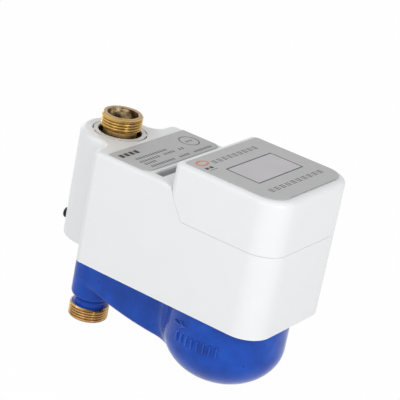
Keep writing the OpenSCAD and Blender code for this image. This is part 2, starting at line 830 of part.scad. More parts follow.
module gearbox_cover() {
    color("dimgray") difference() {
        translate([stem_face + box_base_t, 0, 0]) along_x()
            linear_extrude(box_x1 - stem_face - box_base_t) box_outline(0);
        difference() {
            translate([stem_face + box_base_t - e, 0, 0]) along_x()
                linear_extrude(box_x1 - box_wall - stem_face - box_base_t) box_outline(box_wall);
            translate([stem_face, 0, 0]) along_x() linear_extrude(far) box_corners()
                circle(box_tap_r + 1.6);
        }
        translate([stem_face, 0, 0]) along_x() linear_extrude(far) {
            translate([-ball_z, out_c]) circle(pin_r + fit);
            translate([motor_c - ball_z, out_c]) circle(motor_pin_r + loose);
            box_corners() circle(box_tap_r + fit);
        }
    }
}

module motor() {
    color("silver") translate([box_x1, out_c, ball_z - motor_c]) along_x() difference() {
        cylinder(r = motor_r, h = motor_l);
        translate([0, 0, -e]) cylinder(r = motor_pin_r + fit, h = motor_l / 2 + 1);
    }
}

module gearbox_screws() {
    head_h = 1.2;
    color("silver") {
        translate([box_x1, 0, 0]) along_x() linear_extrude(head_h) box_corners() circle(box_tap_r + 0.9);
        translate([stem_face + 0.5, 0, 0]) along_x() linear_extrude(box_x1 - stem_face - 0.5 + e)
            box_corners() circle(box_tap_r);
    }
}

// lower case

// plan of the box, drawn in by i, with large corners beyond the bowl and small ones beside the pipe
module case_plan(x0, i) {
    big = corner_r - i;
    small = max(0.5, end_corner_r - i);
    hw = case_hw - i;
    translate([x0 + i + small, -hw]) square([case_x1 - corner_r - x0 - i - small, 2 * hw]);
    translate([x0 + i, small - hw]) square([case_x1 - corner_r - x0 - i, 2 * (hw - small)]);
    translate([x0 + i, big - hw]) square([case_x1 - x0 - 2 * i, 2 * (hw - big)]);
    for (s = [-1, 1]) {
        translate([case_x1 - corner_r, s * (hw - big)]) circle(big);
        translate([x0 + i + small, s * (hw - small)]) circle(small);
    }
}

// where the slanted joint, moved by d along its normal, reaches the height z
function slant_x(d, z) = head_x0 + d * slope_n[0] + (z - notch_z - d * slope_n[1]) * slope[0] / slope[1];

// a block from x0 to the far end wall, drawn in by i: near corners q, far corners corner_r, top edge r at z
module housing_block(x0, i, q, low, z, r) {
    far_c = corner_r - i;
    near_c = q - i;
    hw = case_hw - i;
    near_x = x0 + q;
    far_x = case_x1 - corner_r;
    for (s = [0, 1]) mirror([0, s, 0]) {
        translate([far_x, hw - far_c, 0]) rotate_extrude(angle = 90) rounded_edge(far_c, low, z, r);
        translate([near_x, hw - near_c, 0]) rotate([0, 0, 90]) rotate_extrude(angle = 90)
            rounded_edge(near_c, low, z, r);
        translate([near_x, hw - far_c, 0]) rotate([90, 0, 90])
            linear_extrude(far_x - near_x) rounded_edge(far_c, low, z, r);
    }
    translate([far_x, hw - far_c, 0]) rotate([90, 0, 0])
        linear_extrude(2 * (hw - far_c)) rounded_edge(far_c, low, z, r);
    translate([near_x, near_c - hw, 0]) rotate([90, 0, 180])
        linear_extrude(2 * (hw - near_c)) rounded_edge(near_c, low, z, r);
    translate([near_x, far_c - hw, low]) cube([far_x - near_x, 2 * (hw - far_c), z - low]);
}

// half a section of such a block, c wide, with its upper corner rounded by r
module rounded_edge(c, low, z, r) {
    polygon(concat([[0, low], [c, low]], arc([c - r, z - r], r, 0, 90, 8), [[0, z]]));
}

module case_side() {
    polygon([[case_x0, case_bottom], [case_x1, case_bottom], [case_x1, seam_z], [step_x, seam_z],
        [head_x0, notch_z], [head_x0 - 3, deck_z - 0.5], [deck_end, deck_z], [case_x0, deck_z]]);
}

module case_hollow_side() {
    polygon([[case_x0, case_bottom - 1], [case_x1, case_bottom - 1], [case_x1, seam_z - deck_t],
        [slant_x(wall, seam_z - deck_t), seam_z - deck_t],
            [slant_x(wall, deck_z - deck_t), deck_z - deck_t],
        [case_x0, deck_z - deck_t]]);
}

module case_solid() {
    intersection() {
        housing_block(case_x0, 0, end_corner_r, case_bottom, deck_z, deck_edge_r);
        across(case_hw) case_side();
    }
}

// plan of the hollow corner between the lobe and the end wall, drawn in by i and reaching r behind them
module lobe_web(i, r) {
    on_lobe = lobe_c / norm(lobe_c);
    inner = (lobe_r - i - r) * on_lobe;
    difference() {
        polygon([(lobe_r - i) * on_lobe, inner, [case_x0 + i + r, inner[1] / 2],
            [case_x0 + i + r, lobe_c[1]],
            [case_x0 + i, lobe_c[1]]]);
        translate(lobe_c) circle(lobe_fillet + i);
    }
}

// what the rounded upper edge of that corner leaves away
module lobe_web_edge() {
    r = deck_edge_r;
    translate(lobe_c) rotate_extrude() polygon(concat(
        [[0, deck_z - r]], arc([lobe_fillet + r, deck_z - r], r, 180, 90, 8),
            [[lobe_fillet + r, far], [0, far]]));
}

module lobe() {
    rotate_extrude() rounded_edge(lobe_r, lobe_bottom, deck_z, deck_edge_r);
    for (s = [0, 1])
        mirror([0, s, 0]) difference() {
            translate([0, 0, lobe_bottom]) linear_extrude(deck_z - lobe_bottom) lobe_web(0, deck_edge_r);
            lobe_web_edge();
        }
}

module lobe_hollow() {
    translate([0, 0, case_bottom - 1]) linear_extrude(deck_z - deck_t - case_bottom + 1) {
        circle(lobe_r - wall);
        for (s = [0, 1])
            mirror([0, s]) lobe_web(wall, 1);
    }
}

module case_posts(r) {
    for (x = post_x)
        for (s = [-1, 1])
            translate([x, s * post_y, 0]) cylinder(r = r, h = far);
}

module lower_case() {
    color("white") difference() {
        union() {
            difference() {
                union() {
                    case_solid();
                    lobe();
                }
                intersection() {
                    translate([0, 0, case_bottom - 1]) linear_extrude(far) case_plan(case_x0, wall);
                    across(case_hw) case_hollow_side();
                }
                lobe_hollow();
            }
            intersection() {
                case_solid();
                translate([0, 0, base_top]) case_posts(post_r);
            }
        }
        translate([0, 0, deck_z - far / 2]) cylinder(r = collar_hole_r, h = far);
        translate([slot_x0 - slot_lip, -slot_l / 2 - slot_lip, deck_z - deck_t - 1])
            cube([slot_w + 2 * slot_lip, slot_l + 2 * slot_lip, far]);
        translate([shelf_hole[0], -shelf_hole[2] / 2, seam_z - deck_t - 1])
            cube([shelf_hole[1], shelf_hole[2], deck_t + 2]);
        translate([0, 0, base_top - far + 14]) case_posts(tap_r + fit);
        for (p = head_post)
            for (s = [-1, 1])
                translate([p[0], s * p[1], seam_z - deck_t - 1])
                    cylinder(r = tap_r + loose, h = deck_t + 2);
        rotate(plug_angle) translate([0, 0, plug_z]) along_x() cylinder(r = plug_r - 1 + fit, h = far);
    }
}

module bottom_plate() {
    reach = post_x[1] + 6;
    in = wall + loose;
    color("white") translate([0, 0, arm_top]) linear_extrude(base_t) difference() {
        union() {
            intersection() {
                case_plan(case_x0, in);
                translate([0, -far / 2]) square([reach, far]);
            }
            circle(lobe_r - in);
        }
        circle(boss_r + 0.4);
        translate([bowl_x, 0]) circle(ring_r + loose);
        for (x = post_x)
            for (s = [-1, 1])
                translate([x, s * post_y]) circle(tap_r + fit);
        for (s = [-1, 1])
            translate([clamp_x, s * clamp_y]) circle(tap_r + fit);
    }
}

module case_screws() {
    color("silver") {
        for (x = post_x)
            for (s = [-1, 1])
                translate([x, s * post_y, arm_top]) {
                    translate([0, 0, -screw_head_h]) cylinder(r = screw_head_r, h = screw_head_h);
                    translate([0, 0, -e]) cylinder(r = tap_r, h = base_t + 11);
                }
        for (s = [-1, 1])
            translate([clamp_x, s * clamp_y, base_top]) {
                cylinder(r = screw_head_r, h = screw_head_h);
                translate([0, 0, -base_t - 7]) cylinder(r = tap_r, h = base_t + 7 + e);
            }
    }
}

module pipe_collar() {
    foot = 2;
    tab = 10;
    color("linen") {
        difference() {
            union() {
                translate([0, 0, deck_z - deck_t - foot]) cylinder(r = collar_hole_r + 2.4, h = foot);
                translate([0, 0, deck_z - deck_t - e])
                    cylinder(r = collar_hole_r - collar_gap, h = deck_t + loose + e);
                for (a = [38, 229])
                    rotate(a - tab / 2) translate([0, 0, deck_z - deck_t - e])
                        rotate_extrude(angle = tab) translate([collar_r + 1, 0])
                            square([collar_hole_r - fit - collar_r - 1, deck_t + e]);
            }
            translate([0, 0, deck_z - far / 2]) cylinder(r = collar_r, h = far);
        }
    }
}

// a flat plate from x0 to x1 with its far corners rounded by r and its near corners by q
module plate(x0, x1, hw, r, q) {
    translate([x0 + q, -hw]) square([x1 - r - x0 - q, 2 * hw]);
    translate([x0, q - hw]) square([x1 - r - x0, 2 * (hw - q)]);
    translate([x0, r - hw]) square([x1 - x0, 2 * (hw - r)]);
    for (s = [-1, 1]) {
        translate([x1 - r, s * (hw - r)]) circle(r);
        translate([x0 + q, s * (hw - q)]) circle(q);
    }
}

module nameplate() {
    color("darkgray") translate([0, 0, deck_z]) linear_extrude(plate_t)
        plate(name_x0, name_x1, name_hw, name_corner_r, 1);
}

module card_reader() {
    body_h = 26;
    side = 2.4;
    funnel_h = 10;
    throat_w = 1.4;
    throat_l = 55;
    top = deck_z - deck_t;
    rim = slot_lip - fit;
    color("dimgray") difference() {
        union() {
            translate([slot_x0 - side, -reader_hl, top - body_h])
                cube([slot_w + 2 * side, 2 * reader_hl, body_h]);
            translate([slot_x0 - rim, -slot_l / 2 - rim, top - e])
                cube([slot_w + 2 * rim, slot_l + 2 * rim, deck_t - slot_lip_drop + e]);
        }
        translate([slot_x0, -slot_l / 2, top - funnel_h]) cube([slot_w, slot_l, far]);
        translate([slot_x0 + slot_w / 2 - throat_w / 2, -throat_l / 2, top - body_h + 2])
            cube([throat_w, throat_l, far]);
    }
}

module seal_plug() {
    dome = 1.8;
    color("black") rotate(plug_angle) translate([lobe_r, 0, plug_z]) along_x() rotate_extrude()
        polygon(concat(
        [[0, -wall - 1], [plug_r - 1, -wall - 1], [plug_r - 1, 0], [plug_r, 0], [plug_r, 2.2]],
        [for (i = [1:6]) [plug_r * cos(15 * i), 2.2 + dome * sin(15 * i)]]));
}

// head

// the head's block drawn in by i, with its top at the height z and its top edge rounded by r
module head_block(i, z, r) {
    housing_block(head_x0, i, head_corner_r, seam_z - 1, z, r);
}

module head_side(i, z) {
    gap = seam_gap - i;
    polygon([[slant_x(-gap, seam_z + gap), seam_z + gap], [case_x1, seam_z + gap], [case_x1, z],
        [head_x0 + i, z],
        [head_x0 + i, notch_z - gap * slope_n[1] - i]]);
}

module head_solid() {
    intersection() {
        head_block(0, head_z, head_edge_r);
        across(case_hw) head_side(0, head_z);
    }
}

module head_posts(r) {
    for (p = head_post)
        for (s = [-1, 1])
            translate([p[0], s * p[1], 0]) cylinder(r = r, h = far);
}

module board_posts(r) {
    for (x = [board_x0 + board_post_r, board_x0 + board_l - board_post_r])
        for (s = [-1, 1])
            translate([x, s * (board_w / 2 - board_post_r), 0]) cylinder(r = r, h = far);
}

module head_cover() {
    sill = 1;
    color("white") difference() {
        union() {
            difference() {
                head_solid();
                intersection() {
                    head_block(wall, head_top_in, head_edge_r - wall);
                    across(case_hw) head_side(wall, head_top_in);
                }
            }
            intersection() {
                head_block(0, head_z - 1, head_edge_r);
                union() {
                    translate([0, 0, seam_z]) head_posts(head_post_r);
                    translate([0, 0, lcd_z]) board_posts(board_post_r);
                }
            }
        }
        translate([window_x0 + sill, sill - window_hw, head_top_in - 1])
            cube([window_l - 2 * sill, 2 * (window_hw - sill), far]);
        translate([0, 0, seam_z - far + 12]) head_posts(tap_r + fit);
    }
}

module head_base() {
    in = wall + loose;
    saddle = 12;
    color("white") difference() {
        union() {
            translate([0, 0, seam_z]) linear_extrude(base_t) case_plan(head_base_x0 - in, in);
            for (x = cell_x)
                for (s = [-1, 1])
                    translate([x - saddle / 2, s * cell_l / 4 - 2, seam_z]) cube([saddle, 4, base_t + 4]);
        }
        translate([0, 0, seam_z - 1]) head_posts(head_post_r + loose);
        for (x = cell_x)
            translate([x, 0, cell_z]) rotate([90, 0, 0]) cylinder(r = cell_r + fit, h = far, center = true);
    }
}

module head_screws() {
    color("silver") for (p = head_post)
        for (s = [-1, 1])
            translate([p[0], s * p[1], seam_z - deck_t]) {
                translate([0, 0, -screw_head_h]) cylinder(r = screw_head_r, h = screw_head_h);
                translate([0, 0, -e]) cylinder(r = tap_r, h = deck_t + 9);
            }
}

module faceplate() {
    color("darkgray") translate([0, 0, head_z]) linear_extrude(plate_t) difference() {
        plate(face_x0, face_x1, face_hw, face_corner_r, 2);
        translate([window_x0, -window_hw]) square([window_l, 2 * window_hw]);
    }
}

module lcd_window() {
    color("lightgray") translate([window_x0 + fit, fit - window_hw, head_z])
        cube([window_l - 2 * fit, 2 * (window_hw - fit), plate_t]);
}

module lcd_module() {
    color("lightgray") translate([window_x0 - lcd_over, -window_hw - lcd_over, lcd_z])
        cube([window_l + 2 * lcd_over, 2 * (window_hw + lcd_over), lcd_t]);
}

module main_board() {
    color("green") translate([board_x0, -board_w / 2, board_z]) cube([board_l, board_w, board_t]);
}

module battery_cells() {
    color("steelblue") for (x = cell_x)
        translate([x, 0, cell_z]) rotate([90, 0, 0]) {
            cylinder(r = cell_r, h = cell_l, center = true);
            translate([0, 0, cell_l / 2 - e]) cylinder(r = 3, h = 1.5);
        }
}

module pulse_sensor() {
    side = 9;
    low = glass_top + gasket_t + 0.5;
    color("green") translate([bowl_x + pointer_at[0] - side / 2, pointer_at[1] - side / 2, low])
        cube([side, side, seam_z - low]);
}

meter_body();
inlet_strainer();
measuring_chamber();
impeller_pivot();
impeller();
impeller_magnet();
chamber_cover();
pressure_plate();
body_seal();
cover_ring();
register_case();
register_arbor();
register_magnet();
gear_plate();
second_wheel();
pointer_wheel();
pointer();
leak_star();
roller_frame();
roller_axle();
number_wheel_1();
number_wheel_2();
number_wheel_3();
number_wheel_4();
number_wheel_5();
dial();
register_glass();
glass_gasket();
valve_body();
valve_tailpiece();
tailpiece_seal();
valve_seats();
valve_ball();
valve_stem();
stem_seal();
gearbox_base();
output_gear();
idler_gear();
motor_pinion();
gearbox_cover();
motor();
gearbox_screws();
lower_case();
bottom_plate();
case_screws();
pipe_collar();
nameplate();
card_reader();
seal_plug();
head_cover();
head_base();
head_screws();
faceplate();
lcd_window();
lcd_module();
main_board();
battery_cells();
pulse_sensor();
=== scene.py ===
"""The looks of a vertical prepaid water meter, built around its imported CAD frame.

The pipe axis is Z with the inlet face at z = 0, and the bowl and the head lie along +X.
Sizes below are in millimetres, as in the part's source, and meshes are made in metres.
"""

import json
import math

import bmesh
import bpy
import numpy as np
from mathutils import Matrix, Vector


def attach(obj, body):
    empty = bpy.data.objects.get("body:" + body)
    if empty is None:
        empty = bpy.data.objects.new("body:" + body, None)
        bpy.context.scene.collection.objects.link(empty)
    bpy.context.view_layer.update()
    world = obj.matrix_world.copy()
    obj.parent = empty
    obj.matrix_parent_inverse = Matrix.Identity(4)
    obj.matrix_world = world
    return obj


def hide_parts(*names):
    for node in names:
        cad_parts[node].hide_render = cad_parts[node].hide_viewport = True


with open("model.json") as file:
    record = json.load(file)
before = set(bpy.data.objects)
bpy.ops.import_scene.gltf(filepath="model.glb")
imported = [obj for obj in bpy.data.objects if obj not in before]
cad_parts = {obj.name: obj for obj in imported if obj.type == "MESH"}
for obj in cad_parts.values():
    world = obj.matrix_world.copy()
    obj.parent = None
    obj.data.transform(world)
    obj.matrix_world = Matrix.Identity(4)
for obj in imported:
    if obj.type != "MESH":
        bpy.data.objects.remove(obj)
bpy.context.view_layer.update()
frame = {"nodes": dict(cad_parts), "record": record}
NODES = frame["nodes"]
MM = 0.001

# the pipe's two ends, as in the part's source
PIPE_L = 145.0
THREAD_R = 13.22
THREAD_L = 9.6
THREAD_BEVEL = 0.9
NECK_R = 9.8
OUT_NECK_R = 10.9
MOUTH_R = 10.1
MOUTH_DEPTH = 7.6
BORE_R = 7.0

# the casting's outside, as in the part's source
BOSS_R = 13.65
BOSS_Z = 18.2
BOSS_TOP = 66.0
BOWL_X = 105.8
BOWL_R = 38.9
BOWL_BOTTOM = 3.5
BOWL_WAIST = 32.4
RIM_R = 37.4
RIM_Z = 60.0
RIM_TOP = 72.0
ARM_CURVE_R = 235.0
ARM_LOW_X = 72.0
ARM_LOW_Z = 15.4
ARM_EDGE_R = 3.5
ARM_TOP = 59.2

# the casting's waterway, as in the part's source
CAST_WALL = 4.5
UPPER_R = 33.0
SEAT_R = 25.0
SEAT_Z = 38.0
SEAT_T = 4.0
WAY_HW = BOSS_R - CAST_WALL + 0.4
WAY_END = BOWL_X - SEAT_R - 2
LOW_WAY_H = 8.5
LOW_WAY_TOP = SEAT_Z - SEAT_T - 0.5
HIGH_WAY_H = 11.0
HIGH_WAY_Z = SEAT_Z + 1
RISER_R = 9.0
SPIGOT_R = BOSS_R - 2.1
SPIGOT_L = 12.0

# the deck, the head and their plates, as in the part's source
DECK_Z = 132.5
HEAD_Z = 148.0
PLATE_T = 0.6
FACE_X1 = 144.7
FACE_HW = 39.1
FACE_CORNER_R = 13.0
WINDOW_X0 = 97.7
WINDOW_X1 = 120.8
WINDOW_HW = 23.9

# the pipe thread's helix
PITCH = 1.814
THREAD_DEPTH = 0.85


# Shader tools


def add(owner, kind, links=(), **values):
    """A new node in a material or world; links are (input, socket) pairs, values properties or inputs."""
    tree = owner.node_tree
    made = tree.nodes.new(kind)
    for key, value in values.items():
        if hasattr(made, key):
            setattr(made, key, value)
        else:
            made.inputs[key].default_value = value
    for key, socket in links:
        tree.links.new(socket, made.inputs[key])
    return made


def material(name, colour, roughness, metallic=0.0, **sockets):
    """A Principled material; sockets are further constant inputs, with _ for a space in their names."""
    mat = bpy.data.materials.new(name)
    mat.use_nodes = True
    inputs = mat.node_tree.nodes["Principled BSDF"].inputs
    inputs["Base Color"].default_value = (*colour, 1)
    inputs["Roughness"].default_value = roughness
    inputs["Metallic"].default_value = metallic
    for key, value in sockets.items():
        inputs[key.replace("_", " ")].default_value = value
    return mat


def row_place(mat):
    """Where a point lies in the shared frame, in metres."""
    return add(mat, "ShaderNodeTexCoord").outputs["Object"]


def noise(mat, scale, detail=2.0, rough=0.5, stretch=None):
    """A noise texture in features per metre; stretch scales the axes."""
    links = [("Vector", row_place(mat))]
    if stretch:
        links = [("Vector", add(mat, "ShaderNodeMapping", links, Scale=stretch).outputs[0])]
    return add(mat, "ShaderNodeTexNoise", links, Scale=scale, Detail=detail, Roughness=rough).outputs[0]


def ramp(mat, factor, stops):
    """A colour ramp over factor; stops are (place, colour or grey)."""
    made = add(mat, "ShaderNodeValToRGB", [("Fac", factor)])
    elements = made.color_ramp.elements
    while len(elements) < len(stops):
        elements.new(0.5)
    for element, (place, colour) in zip(elements, stops):
        element.position = place
        element.color = (*colour, 1) if hasattr(colour, "__len__") else (colour, colour, colour, 1)
    return made.outputs[0]


def paint(mat, socket_name, output):
    shader = mat.node_tree.nodes["Principled BSDF"]
    mat.node_tree.links.new(output, shader.inputs[socket_name])


def bump(mat, relief, strength, distance):
    """Adds a bump over what the material's normal already holds; distance is in metres."""
    before = mat.node_tree.nodes["Principled BSDF"].inputs["Normal"].links
    links = [("Height", relief)] + ([("Normal", before[0].from_socket)] if before else [])
    made = add(mat, "ShaderNodeBump", links, Strength=strength, Distance=distance)
    paint(mat, "Normal", made.outputs[0])


def blend(mat, factor, a, b):
    """Goes from a to b by factor; each is a colour or a socket."""
    made = add(mat, "ShaderNodeMix", [(0, factor)], data_type="RGBA")
    for socket, value in ((made.inputs[6], a), (made.inputs[7], b)):
        if hasattr(value, "is_output"):
            mat.node_tree.links.new(value, socket)
        else:
            socket.default_value = (*value, 1)
    return made.outputs[2]


def band(mat, value, low, high):
    """Rises smoothly from 0 to 1 while value goes from low to high, in millimetres."""
    made = add(mat, "ShaderNodeMapRange", [("Value", value)], interpolation_type="SMOOTHSTEP")
    made.inputs["From Min"].default_value = low * MM
    made.inputs["From Max"].default_value = high * MM
    return made.outputs[0]


def greater(owner, a, b):
    return add(owner, "ShaderNodeMath", [(0, a), (1, b)], operation="MAXIMUM").outputs[0]


def pipe_radius(mat):
    """The distance from the pipe's axis."""
    flat = add(mat, "ShaderNodeVectorMath", [(0, row_place(mat))], operation="MULTIPLY")
    flat.inputs[1].default_value = (1, 1, 0)
    return add(mat, "ShaderNodeVectorMath", [(0, flat.outputs[0])], operation="LENGTH").outputs["Value"]


def row_height(mat):
    return add(mat, "ShaderNodeSeparateXYZ", [(0, row_place(mat))]).outputs[2]


def spots(mat, places, size):
    """1 at each place, in millimetres, fading to 0 at the given distance."""
    where = row_place(mat)
    best = None
    for place in places:
        gap = add(mat, "ShaderNodeVectorMath", [(0, where)], operation="DISTANCE")
        gap.inputs[1].default_value = Vector(place) * MM
        here = band(mat, gap.outputs["Value"], size, 0)
        best = here if best is None else greater(mat, best, here)
    return best


def coloured(mat):
    """The socket that the material's colour comes from."""
    return mat.node_tree.nodes["Principled BSDF"].inputs["Base Color"].links[0].from_socket


def tint(colour, factor):
    return tuple(min(1.0, c * factor) for c in colour)


# Materials


WHITE = (0.80, 0.81, 0.815)
BLUE = (0.011, 0.072, 0.435)
PALE_BLUE = (0.015, 0.095, 0.50)
BRASS = (0.58, 0.38, 0.12)
OLD_BRASS = (0.49, 0.30, 0.12)
# how dark the painted shade in the threads' grooves is, as a share of the brass
GROOVE_SHADE_SHARE = 0.62
# the colour of the painted shade down the collar's gaps
GAP_SHADE_COLOUR = (0.02, 0.017, 0.014)

# depths below the deck between which the painted shade down the collar's gaps comes in
GAP_SHADE_START = 0.2
GAP_SHADE_FULL = 1.6

# small pits in the paint of the bowl, the arm and the boss, dented and painted dark as their shade
PITS = [
    (90.9, -35.9, 46.9), (122.1, -32.9, 22.5), (136.6, -23.7, 31.2),
    (-0.7, -13.6, 31.8), (13.6, -13.65, 34.0), (-6.0, -12.3, 30.8),
]
PIT_R = 1.0

# places of the painted highlights on the lumps inside the outlet
HIGHLIGHT_SPOTS = [
    (-4.9, 8.8, 143.4), (-5.0, 8.8, 141.0), (-3.0, 9.6, 139.8), (-8.5, 5.5, 143.7), (-9.8, 2.3, 142.6),
]
HIGHLIGHT_R = 4.2


def moulded(name, colour, roughness, grain=0.00002, spread=0.02, gloss=0.13, fine=1600, **sockets):
    """A moulded plastic: a faint cloudiness in colour and gloss, and a fine eroded grain."""
    mat = material(name, colour, roughness, **sockets)
    shades = [(0.3, tint(colour, 1 - spread)), (0.7, tint(colour, 1 + spread))]
    paint(mat, "Base Color", ramp(mat, noise(mat, 60, 3), shades))
    sheen = [(0.3, roughness * (1 - gloss)), (0.7, min(1.0, roughness * (1 + gloss)))]
    paint(mat, "Roughness", ramp(mat, noise(mat, 220, 4), sheen))
    bump(mat, noise(mat, fine, 2), 0.25, grain)
    return mat


def metal(name, colour, roughness, grain=0.00003, streak=None, detail=5, uneven=1.0):
    """A worked metal: uneven tarnish, uneven gloss and fine tool marks."""
    mat = material(name, colour, roughness, metallic=1.0)
    dull, bright = tint(colour, 1 - 0.28 * uneven), tint(colour, 1 + 0.12 * uneven)
    shades = [(0.32, dull), (0.52, colour), (0.75, bright)]
    paint(mat, "Base Color", ramp(mat, noise(mat, 160, detail, 0.6), shades))
    sheen = [(0.3, roughness * (1 - 0.3 * uneven)), (0.7, min(1.0, roughness * (1 + 0.4 * uneven)))]
    paint(mat, "Roughness", ramp(mat, noise(mat, 420, detail - 1, 0.6), sheen))
    bump(mat, noise(mat, 2200, 3, 0.6, streak), 0.3, grain)
    return mat


def enamel(name, **sockets):
    """Thick glossy enamel over a rough casting: runs, orange peel, a slightly uneven blue, and dented pits
    with painted shade.
    """
    mat = material(name, BLUE, 0.16, Specular_IOR_Level=0.19, **sockets)
    shades = ramp(mat, noise(mat, 75, 4), [(0.3, tint(BLUE, 0.80)), (0.52, BLUE), (0.72, PALE_BLUE)])
    pit = spots(mat, PITS, PIT_R)
    # painted shade: the pits go dark where the enamel is dented
    paint(mat, "Base Color", blend(mat, pit, shades, tint(BLUE, 0.25)))
    paint(mat, "Roughness", ramp(mat, noise(mat, 300, 3), [(0.3, 0.11), (0.7, 0.24)]))
    bump(mat, noise(mat, 110, 2), 0.5, 0.0005)
    bump(mat, noise(mat, 480, 3), 0.35, 0.0002)
    bump(mat, pit, -0.8, 0.0006)
    return mat


def thread_brass(name, colour, uneven):
    """Turned brass with painted shade in the thread's grooves."""
    mat = metal(name, colour, 0.22, 0.000004, (1, 1, 8), detail=2, uneven=uneven)
    # painted shade: the brass goes darker from the crest down into the groove
    crest = band(mat, pipe_radius(mat), THREAD_R - THREAD_DEPTH, THREAD_R - THREAD_DEPTH / 2)
    paint(mat, "Base Color", blend(mat, crest, tint(colour, GROOVE_SHADE_SHARE), coloured(mat)))
    return mat


def cast_bore():
    """The outlet's rough cast inside: dark scale, with painted highlights as bright lumps at given places.
    """
    mat = material("cast_bore", (0.1, 0.06, 0.03), 0.4, metallic=0.6)
    lumps = noise(mat, 230, 3, 0.6)
    scale = [(0.38, (0.04, 0.024, 0.010)), (0.55, (0.18, 0.11, 0.045)), (0.68, (0.60, 0.44, 0.21))]
    highlight = [(0.34, (0.16, 0.10, 0.04)), (0.48, (0.85, 0.62, 0.30)), (0.6, (1.0, 0.85, 0.55))]
    # painted highlights: a bright metal colour at the given spots
    where = spots(mat, HIGHLIGHT_SPOTS, HIGHLIGHT_R)
    paint(mat, "Base Color", blend(mat, where, ramp(mat, lumps, scale), ramp(mat, lumps, highlight)))
    bump(mat, lumps, 0.9, 0.0014)
    return mat


def collar_plastic():
    """Off-white plastic with painted shade down the gaps about the pipe, going dark with depth below the
    deck.
    """
    mat = moulded("collar_plastic", (0.70, 0.68, 0.655), 0.36, spread=0.01)
    # painted shade: the collar's bore and gaps go dark with depth below the deck
    lit = band(mat, row_height(mat), DECK_Z - GAP_SHADE_FULL, DECK_Z - GAP_SHADE_START)
    paint(mat, "Base Color", blend(mat, lit, GAP_SHADE_COLOUR, coloured(mat)))
    return mat


def glass():
    mat = material("clear_glass", (0.95, 0.98, 0.98), 0.03, Transmission_Weight=1.0, IOR=1.5)
    bump(mat, noise(mat, 40, 1), 0.05, 0.0001)
    return mat


reader_grey = moulded("reader_grey", (0.62, 0.635, 0.65), 0.45, spread=0.04)
ink = moulded("ink", (0.10, 0.10, 0.105), 0.6, spread=0.1)
line_ink = moulded("line_ink", (0.025, 0.025, 0.027), 0.6, spread=0.1)
bold_ink = moulded("bold_ink", (0.030, 0.020, 0.013), 0.6, spread=0.2)
# ink for the print, also used for the painted shade line along the faceplate's far edge
title_ink_and_shade = moulded("title_ink_and_shade", (0.05, 0.05, 0.053), 0.6, spread=0.1)
orange_ink = moulded("orange_ink", (0.58, 0.21, 0.11), 0.6, spread=0.12)
brass = metal("brass", BRASS, 0.34)
rim_brass = metal("rim_brass", (0.40, 0.285, 0.18), 0.36)
neck_brass = metal("neck_brass", (0.55, 0.35, 0.15), 0.4)
turned_brass = thread_brass("turned_brass", BRASS, 0.45)
worn_brass = thread_brass("worn_brass", OLD_BRASS, 1.1)
bore_scale = cast_bore()
blue_paint = enamel("blue_paint")
pooled_paint = enamel("pooled_paint", Coat_Weight=0.4, Coat_Roughness=0.06)

# the finish of each material slot of the CAD
FINISH = {
    "blue_paint": blue_paint,
    "brass": brass,
    "white_plastic": moulded(
        "white_plastic", WHITE, 0.32, grain=0.000006, spread=0.006, gloss=0.05, fine=420,
        Specular_IOR_Level=0.35),
    "collar_plastic": collar_plastic(),
    "grey_plate": moulded("grey_plate", (0.455, 0.455, 0.46), 0.45, spread=0.02),
    "display": moulded("display_sheet", (0.49, 0.475, 0.50), 0.34, spread=0.03),
    "dark_plastic": moulded("dark_plastic", (0.16, 0.165, 0.18), 0.5, spread=0.06),
    "black_plastic": moulded(
        "black_plastic", (0.010, 0.010, 0.011), 0.42, spread=0.1, Specular_IOR_Level=0.2),
    "pale_plastic": moulded("pale_plastic", (0.68, 0.68, 0.64), 0.42, spread=0.02),
    "clear_glass": glass(),
    "steel": metal("steel", (0.56, 0.57, 0.58), 0.32),
    "magnet": metal("magnet", (0.09, 0.09, 0.095), 0.55),
    "rubber": moulded("rubber", (0.012, 0.012, 0.012), 0.75, grain=0.00005, spread=0.15),
    "red_plastic": moulded("red_plastic", (0.48, 0.02, 0.015), 0.35, spread=0.05),
    "board": moulded("board_green", (0.02, 0.16, 0.05), 0.4, spread=0.12),
    "cell": moulded("cell_sleeve", (0.05, 0.10, 0.26), 0.3, spread=0.05),
}
for row in frame["record"]["subparts"]:
    mesh = NODES[row["node"]].data
    mesh.materials.clear()
    mesh.materials.append(FINISH[row["material_slot"]])
NODES["card_reader"].data.materials[0] = reader_grey


# Mesh tools


def ride(name, mesh, replaces=()):
    """An object for a mesh, fixed to the meter's body."""
    obj = bpy.data.objects.new(name, mesh)
    bpy.context.scene.collection.objects.link(obj)
    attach(obj, "root")
    if replaces:
        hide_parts(*replaces)
    return obj


def piece(name, points, faces, mats, replaces=(), smooth=True):
    """A new piece from points in millimetres."""
    mesh = bpy.data.meshes.new(name)
    mesh.from_pydata([tuple(p) for p in np.asarray(points, float) * MM], [], faces)
    mesh.validate()
    for mat in mats:
        mesh.materials.append(mat)
    if smooth:
        mesh.shade_smooth()
    return ride(name, mesh, replaces)


def smooth_min(a, b, k):
    """The lesser of two distances, blended over k millimetres: a cast fillet."""
    h = np.clip(0.5 + 0.5 * (b - a) / k, 0, 1)
    return b + (a - b) * h - k * h * (1 - h)


def rounded_corner(a, b, r):
    """The distance to the intersection of two half spaces with their shared edge rounded."""
    qa, qb = a + r, b + r
    return np.hypot(np.maximum(qa, 0), np.maximum(qb, 0)) + np.minimum(np.maximum(qa, qb), 0) - r


CELL_CORNERS = [(i, j, k) for i in (0, 1) for j in (0, 1) for k in (0, 1)]


def at_corner(d, corner):
    """The distances at one corner of every cell of a grid."""
    return d[tuple(slice(c, c + n - 1) for c, n in zip(corner, d.shape))]


